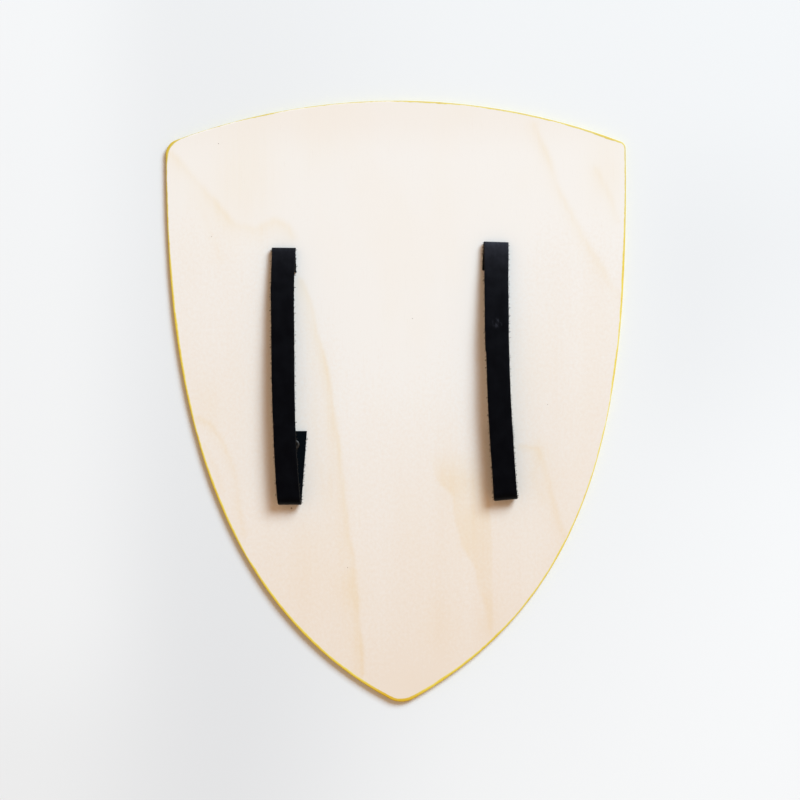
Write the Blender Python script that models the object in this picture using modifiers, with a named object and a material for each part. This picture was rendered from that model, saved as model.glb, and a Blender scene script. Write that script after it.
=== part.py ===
"""A toy heater shield: a flat plywood board with two riveted leather straps on its back.

Metres, +Z up. The shield lies on its painted front, so the bare back and its straps face up.
X runs across the shield and +Y points to its top edge. The origin lies on the ground, under
the middle of the board's width and length.
"""

from collections import namedtuple
from math import atan, atan2, cos, pi, radians, sin, sqrt, tan

import bmesh
import bpy

# Board outline
WIDTH = 0.300
LENGTH = 0.392
TOP_RADIUS = 0.415          # the shallow arc of the top edge
CROWN_ASIDE = 0.0036        # how far the arc's crown lies to the left of the tip
STRAIGHT_SIDE = 0.0045      # upright part of a side, below its corner
TIP_SLOPE = radians(28.7)   # rise of a side where it leaves the tip
TIP_RADIUS = 0.016

# The two sides were cut by hand, and their curves differ a little
LEFT_CORNER_RADIUS = 0.0100     # where the top edge turns into a side
RIGHT_CORNER_RADIUS = 0.0050
LEFT_UPPER_FULLNESS = 0.262     # pull of a side's upright upper end on its curve
RIGHT_UPPER_FULLNESS = 0.453
LEFT_LOWER_FULLNESS = 0.448     # pull of its sloping lower end
RIGHT_LOWER_FULLNESS = 0.397

# Board body
BOARD_THICKNESS = 0.004
ARRIS_RADIUS = 0.0008       # the sanded edges

# Straps
STRAP_WIDTH = 0.015
STRAP_THICKNESS = 0.0017
LOOP_HEIGHT = 0.0120        # top of a strap above the board, at its slack lower fold
LEFT_BOW = 0.0010           # how far the run stands up in its middle besides
RIGHT_BOW = 0.0020
LEFT_STRAP_X = -0.0744
RIGHT_STRAP_X = 0.0646
LEFT_TOP_INSET = 0.0953     # from the crown of the top edge down to the upper fold
RIGHT_TOP_INSET = 0.0930
LEFT_SPAN = 0.1671          # from the upper fold to the lower one
RIGHT_SPAN = 0.1678
LEFT_UPPER_TAB = 0.0160     # length turned under at the top
RIGHT_UPPER_TAB = 0.0185
LEFT_LOWER_TAB = 0.0478     # length turned under at the bottom
RIGHT_LOWER_TAB = 0.0478
LEFT_UPPER_DRIFT = 0.0013   # how far a strap strays to the right at an end
RIGHT_UPPER_DRIFT = 0.0003
LEFT_LOWER_DRIFT = 0.0032
RIGHT_LOWER_DRIFT = 0.0046
UPPER_BEND = 0.0335         # length of the upper end that strays
LEFT_LOWER_BEND = 0.0840    # length of the lower end that strays
RIGHT_LOWER_BEND = 0.1180
LEFT_UPPER_SKEW = -0.020    # angle of a fold to the shield's width, in radians
RIGHT_UPPER_SKEW = -0.041
LEFT_LOWER_SKEW = -0.012
RIGHT_LOWER_SKEW = 0.075
LEFT_TAB_TWIST = -0.012     # how far a lower tab leans besides what its fold gives it
RIGHT_TAB_TWIST = 0.022

# Rivets
HEAD_DIAMETER = 0.0066
HEAD_HEIGHT = 0.0009
HEAD_RIM = 0.0003           # thickness of the rolled head at its rim and in its hollow
HOLLOW_DIAMETER = 0.0024    # hollow in the middle of the rolled head
SHANK_DIAMETER = 0.0028
FOOT_DIAMETER = 0.0056      # flush end in the painted front
FOOT_RIM = 0.0003
FOOT_SINK = 0.0002          # depth of the foot below the front
RIVET_INSET = 0.0088        # from the cut end of a tab to the rivet

# Fits
SEAT_GAP = 0.0003           # between pieces that lie on each other
HOLE_CLEARANCE = 0.0003     # all round a rivet in its holes

# Fineness of the faceted shapes
TOP_STEPS = 14
CORNER_STEPS = 5
SIDE_STEPS = 26
TIP_STEPS = 4
ARRIS_SEGMENTS = 2
FOLD_STEPS = 10
RUN_STEPS = 24
TAB_STEPS = 6
ACROSS_STEPS = 2
ROLL_STEPS = 6
TURN_STEPS = 24

CROWN_Y = LENGTH / 2
TIP_Y = -LENGTH / 2
TAB_MIDDLE = BOARD_THICKNESS + SEAT_GAP + STRAP_THICKNESS / 2
TAB_TOP = TAB_MIDDLE + STRAP_THICKNESS / 2
HEAD_SEAT = TAB_TOP + SEAT_GAP
UPPER_FOLD_RADIUS = (STRAP_THICKNESS + HEAD_HEIGHT + 2 * SEAT_GAP) / 2
LOWER_FOLD_RADIUS = (LOOP_HEIGHT - SEAT_GAP - STRAP_THICKNESS) / 2

Side = namedtuple("Side", "crown_x corner_radius upper_fullness lower_fullness")
Strap = namedtuple("Strap", "name x top span bow upper lower")
End = namedtuple("End", "tab drift bend skew twist fold_radius")

LEFT_SIDE = Side(CROWN_ASIDE, LEFT_CORNER_RADIUS, LEFT_UPPER_FULLNESS, LEFT_LOWER_FULLNESS)
RIGHT_SIDE = Side(-CROWN_ASIDE, RIGHT_CORNER_RADIUS, RIGHT_UPPER_FULLNESS, RIGHT_LOWER_FULLNESS)

STRAPS = (
    Strap("left_strap", LEFT_STRAP_X, CROWN_Y - LEFT_TOP_INSET, LEFT_SPAN, LEFT_BOW,
          End(LEFT_UPPER_TAB, LEFT_UPPER_DRIFT, UPPER_BEND, LEFT_UPPER_SKEW, 0.0, UPPER_FOLD_RADIUS),
          End(LEFT_LOWER_TAB, LEFT_LOWER_DRIFT, LEFT_LOWER_BEND, LEFT_LOWER_SKEW, LEFT_TAB_TWIST,
              LOWER_FOLD_RADIUS)),
    Strap("right_strap", RIGHT_STRAP_X, CROWN_Y - RIGHT_TOP_INSET, RIGHT_SPAN, RIGHT_BOW,
          End(RIGHT_UPPER_TAB, RIGHT_UPPER_DRIFT, UPPER_BEND, RIGHT_UPPER_SKEW, 0.0, UPPER_FOLD_RADIUS),
          End(RIGHT_LOWER_TAB, RIGHT_LOWER_DRIFT, RIGHT_LOWER_BEND, RIGHT_LOWER_SKEW, RIGHT_TAB_TWIST,
              LOWER_FOLD_RADIUS)),
)


def clear_scene():
    """Empty the scene that the script runs in."""
    for old in list(bpy.data.objects):
        bpy.data.objects.remove(old)


def collection(name):
    """Make a collection in the scene."""
    made = bpy.data.collections.new(name)
    bpy.context.scene.collection.children.link(made)
    return made


def material(name, colour, roughness, metallic=0.0):
    """Make a plain material."""
    made = bpy.data.materials.new(name)
    made.use_nodes = True
    shader = made.node_tree.nodes["Principled BSDF"]
    shader.inputs["Base Color"].default_value = (*colour, 1.0)
    shader.inputs["Roughness"].default_value = roughness
    shader.inputs["Metallic"].default_value = metallic
    return made


def arc(centre, radius, start, end, steps):
    """Points on an arc, both ends included."""
    angles = [start + (end - start) * i / steps for i in range(steps + 1)]
    return [(centre[0] + radius * cos(a), centre[1] + radius * sin(a)) for a in angles]


def cubic(a, b, c, d, steps):
    """Points on a cubic curve, without its two ends."""
    points = []
    for i in range(1, steps):
        t = i / steps
        weights = ((1 - t) ** 3, 3 * (1 - t) ** 2 * t, 3 * (1 - t) * t * t, t ** 3)
        points.append(tuple(sum(w * p[k] for w, p in zip(weights, (a, b, c, d))) for k in (0, 1)))
    return points


def half_outline(side):
    """One half of the board's outline as if it were the right one, from the crown round to the tip."""
    corner_x = WIDTH / 2 - side.corner_radius
    top_centre = (side.crown_x, CROWN_Y - TOP_RADIUS)
    reach = corner_x - top_centre[0]
    corner_y = top_centre[1] + sqrt((TOP_RADIUS - side.corner_radius) ** 2 - reach ** 2)
    turn = atan2(corner_y - top_centre[1], reach)
    crown = arc(top_centre, TOP_RADIUS, pi / 2, turn, TOP_STEPS)
    corner = arc((corner_x, corner_y), side.corner_radius, turn, 0.0, CORNER_STEPS)

    tip = arc((0.0, TIP_Y + TIP_RADIUS), TIP_RADIUS, TIP_SLOPE - pi / 2, -pi / 2, TIP_STEPS)
    shoulder = (WIDTH / 2, corner_y - STRAIGHT_SIDE)
    drop = shoulder[1] - TIP_Y
    upper_pull = (shoulder[0], shoulder[1] - side.upper_fullness * drop)
    lower_pull = (tip[0][0] + side.lower_fullness * drop * cos(TIP_SLOPE),
                  tip[0][1] + side.lower_fullness * drop * sin(TIP_SLOPE))
    curve = cubic(shoulder, upper_pull, lower_pull, tip[0], SIDE_STEPS)
    return crown + corner[1:] + [shoulder] + curve + tip


def curve_to_mesh(curve_object, group):
    """Replace a curve object with the welded mesh that it evaluates to."""
    name = curve_object.name
    evaluated = curve_object.evaluated_get(bpy.context.evaluated_depsgraph_get())
    mesh = bpy.data.meshes.new_from_object(evaluated)
    body = bmesh.new()
    body.from_mesh(mesh)
    bmesh.ops.remove_doubles(body, verts=body.verts, dist=0.00001)
    bmesh.ops.dissolve_limit(body, angle_limit=radians(0.05), verts=body.verts, edges=body.edges)
    body.to_mesh(mesh)
    body.free()
    made = bpy.data.objects.new(name + "_mesh", mesh)
    made.matrix_world = curve_object.matrix_world.copy()
    group.objects.link(made)
    bpy.data.objects.remove(curve_object)
    made.name = name
    return made


def make_board(group, cutters, finish):
    """The flat plywood board, with sanded edges and the rivets' countersunk holes."""
    left = [(-x, y) for x, y in half_outline(LEFT_SIDE)]
    outline = half_outline(RIGHT_SIDE) + left[-2:0:-1]

    shape = bpy.data.curves.new("board", "CURVE")
    shape.dimensions = "2D"
    shape.fill_mode = "BOTH"
    shape.extrude = BOARD_THICKNESS / 2
    spline = shape.splines.new("POLY")
    spline.points.add(len(outline) - 1)
    for point, (x, y) in zip(spline.points, outline):
        point.co = (x, y, 0.0, 1.0)
    spline.use_cyclic_u = True
    flat = bpy.data.objects.new("board", shape)
    flat.location.z = BOARD_THICKNESS / 2
    group.objects.link(flat)
    bpy.context.view_layer.update()

    board = curve_to_mesh(flat, group)
    board.data.materials.append(finish)
    arris = board.modifiers.new("Arris", "BEVEL")
    arris.width = ARRIS_RADIUS
    arris.segments = ARRIS_SEGMENTS
    arris.limit_method = "ANGLE"
    arris.angle_limit = radians(60)
    for cutter in cutters:
        cut(board, cutter)
    return board


def cut(target, cutter):
    """Take a cutter out of a piece."""
    hole = target.modifiers.new("Hole", "BOOLEAN")
    hole.operation = "DIFFERENCE"
    hole.solver = "EXACT"
    hole.object = cutter


def sway(strap, distance):
    """Sideways place of a strap's run at a distance below its upper fold, and its slope there."""
    above = max(0.0, 1 - distance / strap.upper.bend)
    below = max(0.0, 1 - (strap.span - distance) / strap.lower.bend)
    x = strap.x + strap.upper.drift * above ** 2 + strap.lower.drift * below ** 2
    slope = 2 * (strap.lower.drift * below / strap.lower.bend - strap.upper.drift * above / strap.upper.bend)
    return x, slope


def fold_place(strap, end):
    """Outermost point of a fold, the way from it along the strap, and the slope of the run and the tab."""
    upper = end is strap.upper
    x, slope = sway(strap, 0.0 if upper else strap.span)
    y = strap.top if upper else strap.top - strap.span
    way = -1 if upper else 1
    run_lean = -slope * way
    tab_lean = -run_lean - 2 * end.skew * way + end.twist
    return x, y, way, run_lean, tab_lean


def rivet_place(strap, end):
    """Plan place of a tab's rivet, on the middle of the tab."""
    x, y, way, _, tab_lean = fold_place(strap, end)
    reach = end.tab - RIVET_INSET
    return x + tab_lean * reach, y + way * reach


def rise_slope(strap, end):
    """Slope of the run where it leaves a fold."""
    rise = run_rise(strap) if end is strap.upper else 0.0
    return (2 * rise + 4 * strap.bow) / run_length(strap)


def run_rise(strap):
    """How much higher the run lies at its lower fold than at its upper one."""
    return 2 * (strap.lower.fold_radius - strap.upper.fold_radius)


def run_length(strap):
    """Length of the run between its two folds."""
    return strap.span - strap.upper.fold_radius - strap.lower.fold_radius - STRAP_THICKNESS


def end_rows(strap, end):
    """Rows of a tab and its fold, from the cut end to the run: centre point and skew of each row."""
    x, y, way, run_lean, tab_lean = fold_place(strap, end)
    fold_reach = end.fold_radius + STRAP_THICKNESS / 2
    rows = []
    for i in range(TAB_STEPS + 1):
        reach = end.tab + (fold_reach - end.tab) * i / TAB_STEPS
        rows.append((x + tab_lean * reach, y + way * reach, TAB_MIDDLE, end.skew))
    turn = pi - atan(rise_slope(strap, end))
    for i in range(1, FOLD_STEPS + 1):
        angle = turn * i / FOLD_STEPS
        reach = fold_reach - end.fold_radius * sin(angle)
        lean = tab_lean if angle < pi / 2 else run_lean
        height = TAB_MIDDLE + end.fold_radius * (1 - cos(angle))
        rows.append((x + lean * reach, y + way * reach, height, end.skew))
    return rows


def run_rows(strap):
    """Rows of the long run over the hand, from its lower fold to its upper one."""
    start = strap.upper.fold_radius + STRAP_THICKNESS / 2
    rows = []
    for i in range(1, RUN_STEPS):
        share = 1 - i / RUN_STEPS
        distance = start + run_length(strap) * share
        height = TAB_MIDDLE + 2 * strap.upper.fold_radius + run_rise(strap) * (1 - (1 - share) ** 2)
        height += 4 * strap.bow * share * (1 - share)
        skew = strap.upper.skew * (1 - share) + strap.lower.skew * share
        rows.append((sway(strap, distance)[0], strap.top - distance, height, skew))
    return rows


def make_strap(strap, group, cutters, finish):
    """One leather strip, both ends turned under and lying on the board."""
    rows = end_rows(strap, strap.lower) + run_rows(strap) + end_rows(strap, strap.upper)[::-1]

    body = bmesh.new()
    bmesh.ops.create_grid(body, x_segments=ACROSS_STEPS, y_segments=len(rows) - 1, size=0.5)
    for vertex in body.verts:
        x, y, z, skew = rows[round((vertex.co.y + 0.5) * (len(rows) - 1))]
        across = vertex.co.x * STRAP_WIDTH
        vertex.co = (x + across * cos(skew), y + across * sin(skew), z)
    mesh = bpy.data.meshes.new(strap.name)
    body.to_mesh(mesh)
    body.free()
    made = bpy.data.objects.new(strap.name, mesh)
    made.data.materials.append(finish)
    group.objects.link(made)
    leather = made.modifiers.new("Leather", "SOLIDIFY")
    leather.thickness = STRAP_THICKNESS
    leather.offset = 0.0
    leather.use_even_offset = True
    for cutter in cutters:
        cut(made, cutter)
    return made


def turned(name, profile, group):
    """A solid turned round its own Z axis from a profile that runs from its top down to its bottom."""
    mesh = bpy.data.meshes.new(name)
    edges = [(i, i + 1) for i in range(len(profile) - 1)]
    mesh.from_pydata([(x, 0.0, z) for x, z in profile], edges, [])
    made = bpy.data.objects.new(name, mesh)
    group.objects.link(made)
    screw = made.modifiers.new("Turn", "SCREW")
    screw.steps = TURN_STEPS
    screw.render_steps = TURN_STEPS
    screw.use_merge_vertices = True
    screw.merge_threshold = 0.00001
    return made


def foot_levels():
    """Heights where the foot's rim ends and where its cone meets the shank."""
    rim_top = FOOT_SINK + FOOT_RIM
    neck = rim_top + (FOOT_DIAMETER - SHANK_DIAMETER) / 2
    return rim_top, neck


def make_rivet(name, place, group, finish):
    """A rivet with a rolled hollow head on the tab and a flush foot in the board's front."""
    rim_top, neck = foot_levels()
    hollow = HOLLOW_DIAMETER / 2
    half_roll = (HEAD_DIAMETER - HOLLOW_DIAMETER) / 4
    crest = HEAD_HEIGHT - HEAD_RIM
    profile = [(0.0, HEAD_SEAT + HEAD_RIM)]
    for i in range(ROLL_STEPS + 1):
        angle = pi - pi * i / ROLL_STEPS
        profile.append((hollow + half_roll * (1 + cos(angle)), HEAD_SEAT + HEAD_RIM + crest * sin(angle)))
    profile += [
        (HEAD_DIAMETER / 2, HEAD_SEAT),
        (SHANK_DIAMETER / 2, HEAD_SEAT),
        (SHANK_DIAMETER / 2, neck),
        (FOOT_DIAMETER / 2, rim_top),
        (FOOT_DIAMETER / 2, FOOT_SINK),
        (0.0, FOOT_SINK),
    ]
    made = turned(name, profile, group)
    made.location = (place[0], place[1], 0.0)
    made.data.materials.append(finish)
    return made


def make_hole_cutter(name, place, group):
    """Cutter for one rivet's holes through its tab and the board, countersunk from the front."""
    rim_top, neck = foot_levels()
    above = TAB_TOP + SEAT_GAP / 2
    below = -BOARD_THICKNESS
    cone_rise = HOLE_CLEARANCE * tan(pi / 8)
    profile = [
        (0.0, above),
        (SHANK_DIAMETER / 2 + HOLE_CLEARANCE, above),
        (SHANK_DIAMETER / 2 + HOLE_CLEARANCE, neck + cone_rise),
        (FOOT_DIAMETER / 2 + HOLE_CLEARANCE, rim_top + cone_rise),
        (FOOT_DIAMETER / 2 + HOLE_CLEARANCE, below),
        (0.0, below),
    ]
    made = turned(name, profile, group)
    made.location = (place[0], place[1], 0.0)
    made.hide_render = True
    made.display_type = "WIRE"
    return made


def main():
    clear_scene()
    parts = collection("heater_shield")
    tools = collection("cutters")
    wood = material("plywood", (0.86, 0.80, 0.70), 0.6)
    leather = material("black_leather", (0.012, 0.013, 0.018), 0.55)
    metal = material("dark_metal", (0.16, 0.14, 0.12), 0.4, 1.0)

    all_cutters = []
    for strap in STRAPS:
        strap_cutters = []
        side = strap.name.split("_")[0]
        for end_name, end in (("upper", strap.upper), ("lower", strap.lower)):
            place = rivet_place(strap, end)
            make_rivet(f"{side}_{end_name}_rivet", place, parts, metal)
            strap_cutters.append(make_hole_cutter(f"{side}_{end_name}_hole", place, tools))
        make_strap(strap, parts, strap_cutters, leather)
        all_cutters += strap_cutters
    make_board(parts, all_cutters, wood)


main()
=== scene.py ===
"""A toy heater shield lying on its painted front: bare plywood back, painted rim, riveted straps.

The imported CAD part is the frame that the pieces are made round. Metres, +Z up, +Y towards the
shield's top edge. Places on the board that are given in lists are in millimetres.
"""

from collections import namedtuple
from functools import partialmethod
from math import atan, atan2, cos, pi, radians, sin, sqrt, tan

import bmesh
import bpy
import numpy as np
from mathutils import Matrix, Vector, geometry, noise


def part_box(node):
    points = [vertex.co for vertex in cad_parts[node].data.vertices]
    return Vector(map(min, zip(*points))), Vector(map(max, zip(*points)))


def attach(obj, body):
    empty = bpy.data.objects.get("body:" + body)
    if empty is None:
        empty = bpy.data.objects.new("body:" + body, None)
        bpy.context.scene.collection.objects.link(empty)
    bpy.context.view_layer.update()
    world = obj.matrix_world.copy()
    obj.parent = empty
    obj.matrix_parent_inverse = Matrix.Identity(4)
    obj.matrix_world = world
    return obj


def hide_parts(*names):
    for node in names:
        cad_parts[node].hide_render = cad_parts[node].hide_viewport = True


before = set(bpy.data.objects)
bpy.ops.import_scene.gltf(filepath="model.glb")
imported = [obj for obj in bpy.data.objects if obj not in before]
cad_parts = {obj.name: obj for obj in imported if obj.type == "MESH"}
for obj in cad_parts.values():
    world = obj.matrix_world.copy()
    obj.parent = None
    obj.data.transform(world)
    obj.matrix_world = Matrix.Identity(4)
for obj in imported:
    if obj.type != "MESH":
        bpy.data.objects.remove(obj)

bl_info = {
    "name": "Toy Heater Shield",
    "version": (1, 0, 0),
    "blender": (4, 5, 0),
    "location": "3D View > Sidebar > Shield",
    "description": "Builds a toy shield's plywood board, leather straps, rivets and studio",
    "category": "Add Mesh",
}

MM = 0.001
BODY = "root"

BOARD_LOW, BOARD_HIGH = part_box("board")
WIDTH = BOARD_HIGH.x - BOARD_LOW.x
LENGTH = BOARD_HIGH.y - BOARD_LOW.y
THICKNESS = BOARD_HIGH.z - BOARD_LOW.z
CROWN_Y = LENGTH / 2
TIP_Y = -LENGTH / 2

# Outline of the board
TOP_RADIUS = 0.415
CROWN_ASIDE = 0.0036
STRAIGHT_SIDE = 0.0045
TIP_SLOPE = radians(28.7)
TIP_RADIUS = 0.016
Side = namedtuple("Side", "crown_x corner_radius upper_fullness lower_fullness")
LEFT_SIDE = Side(CROWN_ASIDE, 0.0100, 0.262, 0.448)
RIGHT_SIDE = Side(-CROWN_ASIDE, 0.0050, 0.453, 0.397)

# Straps, their folds and tabs
STRAP_WIDTH = 0.015
STRAP_THICKNESS = 0.0017
LOOP_HEIGHT = 0.0120
SEAT_GAP = 0.0003
HEAD_DIAMETER = 0.0066
HEAD_HEIGHT = 0.0009
HEAD_RIM = 0.0003
HOLLOW_DIAMETER = 0.0024
SHANK_DIAMETER = 0.0028
FOOT_DIAMETER = 0.0056
FOOT_RIM = 0.0003
FOOT_SINK = 0.0002
HOLE_CLEARANCE = 0.0003
RIVET_INSET = 0.0088
TAB_MIDDLE = THICKNESS + SEAT_GAP + STRAP_THICKNESS / 2
HEAD_SEAT = TAB_MIDDLE + STRAP_THICKNESS / 2 + SEAT_GAP
UPPER_FOLD_RADIUS = (STRAP_THICKNESS + HEAD_HEIGHT + 2 * SEAT_GAP) / 2
LOWER_FOLD_RADIUS = (LOOP_HEIGHT - SEAT_GAP - STRAP_THICKNESS) / 2
UPPER_BEND = 0.0335

# Each strap's trim lists how far its hand-cut edges stray outwards, in millimetres: the length from
# its lower cut end, then the left edge and the right edge. Its sheen strength is that of the painted sheen
# at the upper fold.
Strap = namedtuple("Strap", "name x top span bow upper lower trim rub seed")
End = namedtuple("End", "tab drift bend skew twist fold_radius")
STRAPS = (
    Strap("left_strap", -0.0744, CROWN_Y - 0.0953, 0.1671, 0.0010,
          End(0.0160, 0.0013, UPPER_BEND, -0.020, 0.0, UPPER_FOLD_RADIUS),
          End(0.0478, 0.0032, 0.0840, -0.012, -0.012, LOWER_FOLD_RADIUS),
          ((0, -0.3, -0.2), (44, -0.3, -0.1), (56, 0.05, -0.2), (84, -0.05, -0.35), (104, -0.3, -0.3),
           (122, -0.1, -0.1), (160, 0.0, 0.0), (214, 0.1, 0.1), (219, 0.5, 0.1), (223, 0.5, -0.4),
           (240, 0.5, -0.4)), 0.38, 3),
    Strap("right_strap", 0.0646, CROWN_Y - 0.0930, 0.1678, 0.0020,
          End(0.0185, 0.0003, UPPER_BEND, -0.041, 0.0, UPPER_FOLD_RADIUS),
          End(0.0478, 0.0046, 0.1180, 0.075, 0.022, LOWER_FOLD_RADIUS),
          ((0, 0.2, -0.15), (120, 0.2, -0.15), (147.5, 0.1, -0.1), (150, 0.65, -0.15), (190, 0.55, 0.1),
           (215, 0.4, 0.3), (222, 0.75, 0.3), (240, 0.75, 0.3)), 1.0, 8),
)

# How far the rim's paint runs onto the back, in millimetres, at places round the rim
PAINT_REACH = (
    (-3.6, 196.0, 0.45), (28.9, 194.0, 1.1), (45.0, 193.0, 0.6), (64.7, 191.0, 0.8), (85.5, 187.0, 0.9),
    (105.0, 181.0, 0.6), (119.9, 178.0, 0.9), (140.7, 171.5, 1.4), (149.1, 165.0, 0.7), (150.0, 139.0, 0.8),
    (150.0, 113.0, 1.1), (149.5, 83.0, 1.3), (149.0, 57.0, 1.3), (149.0, 50.0, 0.8), (146.0, 7.0, 1.2),
    (144.0, 0.0, 0.6), (138.0, -35.0, 0.8), (134.5, -41.0, 0.6), (104.5, -105.0, 1.1), (78.0, -137.0, 1.0),
    (59.7, -155.0, 1.4), (25.5, -181.0, 1.8), (0.0, -196.0, 2.0), (-33.0, -178.0, 1.8),
    (-98.0, -107.0, 1.6), (-101.9, -100.0, 1.2), (-116.0, -70.0, 1.6), (-129.0, -35.0, 1.5),
    (-132.3, -21.0, 1.1), (-144.7, 35.0, 1.6), (-148.0, 92.0, 1.4), (-148.6, 99.0, 1.1),
    (-149.5, 135.0, 1.0), (-149.5, 142.0, 0.8), (-149.3, 156.5, 0.8),
    (-149.0, 163.6, 1.9), (-145.9, 169.5, 2.0), (-139.0, 171.0, 0.3),
    (-104.0, 184.0, 0.3), (-84.5, 188.0, 0.7), (-74.0, 190.0, 0.35), (-63.5, 192.0, 0.4),
)

# Figure of the veneer: lines in millimetres, then strength, width of the soft left and right flanks
FIGURE_LINES = (
    (((-147, 163), (-137, 152), (-126, 139), (-116, 127), (-105, 116), (-92, 112), (-87, 115), (-79, 118),
      (-72, 115), (-68, 107)), 0.45, 5.0, 2.5),
    (((-132, 142), (-124, 119), (-115, 93)), 0.15, 3.0, 3.0),
    (((-61.5, 79), (-53.4, 51), (-45.9, 19), (-41, -14), (-38, -43), (-35, -75), (-31, -110)),
     0.62, 5.0, 1.6),
    (((-31, -110), (-27.5, -151), (-25, -177)), 0.85, 5.0, 1.8),
    (((-60, 57), (-55, 17), (-54, -28), (-48, -71)), 0.22, 3.0, 2.5),
    (((-46, -28), (-44, -61), (-39, -94), (-36, -126)), 0.26, 3.0, 2.5),
    (((91, 179), (98, 159), (105, 138), (115, 118), (126, 97), (137, 77), (146, 64)), 0.48, 3.5, 2.5),
    (((130, 149), (138, 133), (144, 116)), 0.30, 3.0, 2.5),
    (((-131, -10), (-122, -14), (-116, -23), (-111, -34), (-107, -49), (-104, -70), (-101, -86)),
     0.45, 2.5, 2.0),
    (((-127, -27), (-121, -42), (-115, -57)), 0.28, 2.5, 2.0),
    (((79, -30), (91, -32), (96, -49), (100, -66), (104, -79), (108, -93)), 0.50, 2.5, 2.0),
    (((91, -32), (87, -49), (94, -66)), 0.25, 2.5, 2.0),
)
FIGURE_BAND_LEFT = ((21, -40), (24, -52), (34, -62), (36, -78), (40, -94), (49, -111), (54, -134),
                    (60, -155))
FIGURE_BAND_RIGHT = ((53, -42), (59, -68), (60, -95), (60, -121), (60, -155))

# Clouds of the figure: place and radius in millimetres, strength
FIGURE_CLOUDS = (
    (-98, 148, 26, 0.32), (-49, 170, 18, 0.16), (137, 149, 18, 0.20), (-124, -1, 12, 0.30),
    (31, -46, 10, 0.16), (44, -84, 11, 0.22), (36, -58, 9, 0.16), (57, -145, 9, 0.28),
    (-62, -106, 16, 0.20), (-32, -126, 12, 0.26), (23, -143, 14, 0.20), (92, -34, 7, 0.34),
    (95, -49, 12, 0.08),
)

# Specks on the veneer: place and radius in millimetres, darkness
SPECKS = (
    (-115.3, 169.1, 0.35, 0.6), (-120.5, 108.6, 0.30, 0.5), (9.8, 53.8, 0.35, 0.5),
    (-34.2, -107.9, 0.35, 0.5), (97.2, -3.1, 0.30, 0.5), (-70.3, -68.9, 0.55, 0.8),
)

# Middle of the scuff on the right strap, in millimetres
SCUFF = (64.5, 50.0)

# Painted sheen on the leather below an upper fold: its strength, and the distance over which it fades
FOLD_SHEEN = ((0.25, 0.0085), (0.034, 0.050))

# Loose fibres on the cut edges: shortest and longest, and thickness as a share of the length
FIBRE_LENGTHS = (0.30 * MM, 1.2 * MM)
FIBRE_THICKNESS = 0.13

# Distances to the rim that stand for all paint and for bare wood, and the paint's spread away from the rim
PAINTED, BARE = -10 * MM, 100 * MM
PAINT_SPREAD = 1.0 * MM

# The floor lies this far below the board's front, because faces in one plane render badly
FLOOR_Z = -0.1 * MM

# Rings of the board's faces: how far inside the rim those of the front lie, and how far inside the
# back's rounded edge those of the back; and the zone in which the distance to the rim is exact
FRONT_RINGS = (3.0 * MM, 1.6 * MM)
BACK_RINGS = (0.25 * MM, 0.6 * MM, 1.0 * MM, 1.6 * MM, 2.4 * MM)
RIM_ZONE = 12 * MM
TRIANGLE_HEIGHT = 0.866


class Wire:
    """A node's output socket, which Python's operators work on."""

    def __init__(self, graph, socket):
        self.graph, self.socket = graph, socket

    def math(self, operation, *others):
        return self.graph.node("ShaderNodeMath", dict(enumerate((self, *others))), operation=operation)

    __add__ = __radd__ = partialmethod(math, "ADD")
    __mul__ = __rmul__ = partialmethod(math, "MULTIPLY")
    __sub__ = partialmethod(math, "SUBTRACT")
    __truediv__ = partialmethod(math, "DIVIDE")
    __pow__ = partialmethod(math, "POWER")
    __abs__ = partialmethod(math, "ABSOLUTE")

    def __rsub__(self, other):
        return self.graph.node("ShaderNodeMath", {0: other, 1: self}, operation="SUBTRACT")

    def ramp(self, start, end, low=0.0, high=1.0):
        """A smooth step from low at start to high at end; start may lie above end."""
        if start > end:
            start, end, low, high = end, start, high, low
        values = {"Value": self, "From Min": start, "From Max": end, "To Min": low, "To Max": high}
        return self.graph.node("ShaderNodeMapRange", values, interpolation_type="SMOOTHSTEP")


class Graph:
    """A node tree that is written as Python expressions."""

    def __init__(self, tree):
        self.tree = tree

    def node(self, kind, inputs=(), output=0, **settings):
        """Add a node: its settings first, then the values or links of its sockets."""
        made = self.tree.nodes.new(kind)
        for name, value in settings.items():
            setattr(made, name, value)
        for key, value in dict(inputs).items():
            self.plug(made.inputs[key], value)
        return Wire(self, made.outputs[output])

    def plug(self, socket, value):
        """Link a wire to a socket, or set the socket's value."""
        if isinstance(value, Wire):
            self.tree.links.new(value.socket, socket)
        else:
            socket.default_value = value

    def mix(self, first, second, factor, blend="MIX"):
        """Mix two colours."""
        values = {0: factor, 6: first, 7: second}
        return self.node("ShaderNodeMix", values, 2, data_type="RGBA", blend_type=blend)

    def vector(self, x=0.0, y=0.0, z=0.0):
        return self.node("ShaderNodeCombineXYZ", {0: x, 1: y, 2: z})

    def parts(self, vector):
        """The three components of a vector."""
        split = self.node("ShaderNodeSeparateXYZ", {0: vector})
        return [Wire(self, socket) for socket in split.socket.node.outputs]

    def noise(self, vector, scale, detail=2.0, roughness=0.5):
        values = {"Vector": vector, "Scale": scale, "Detail": detail, "Roughness": roughness}
        return self.node("ShaderNodeTexNoise", values)


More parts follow.
